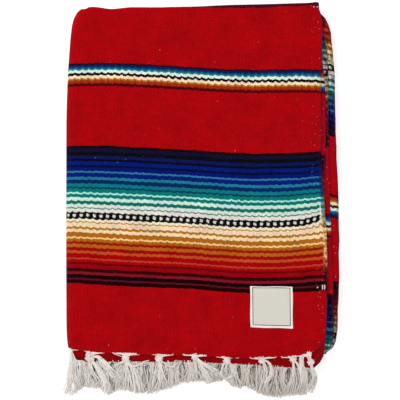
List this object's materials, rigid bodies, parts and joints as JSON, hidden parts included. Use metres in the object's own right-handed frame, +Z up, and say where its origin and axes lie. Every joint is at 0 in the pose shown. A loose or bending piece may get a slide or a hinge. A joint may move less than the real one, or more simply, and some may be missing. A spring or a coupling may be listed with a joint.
{
  "type": "folded fringed blanket",
  "caption": "Striped woven blanket with knotted fringed ends, folded into a flat stack that rests on a shelf, bed or table.",
  "frame": {"origin": "on the floor, under the middle of the folded blanket", "axes": "+X along the fringed ends from the long fold to the selvedges, +Y from the fringe to the back fold, +Z up"},
  "size_m": [0.4185, 0.6058, 0.0372],
  "materials": {
    "striped_cloth": "thick weft-faced weave in red with bands of shaded stripes, matt with a soft nap",
    "fringe_yarn": "undyed twisted warp yarn, knotted in tassels",
    "label_cloth": "plain light grey woven patch with a fine border line, sewn at its edge"
  },
  "bodies": {
    "root": {"outer_layer": "striped_cloth", "hidden_layers": "striped_cloth", "label": "label_cloth", "fringe_upper_outer": "fringe_yarn", "fringe_upper_inner": "fringe_yarn", "fringe_middle_outer": "fringe_yarn", "fringe_middle_inner": "fringe_yarn", "fringe_lower_inner": "fringe_yarn", "fringe_lower_outer": "fringe_yarn"}
  },
  "joints": []
}
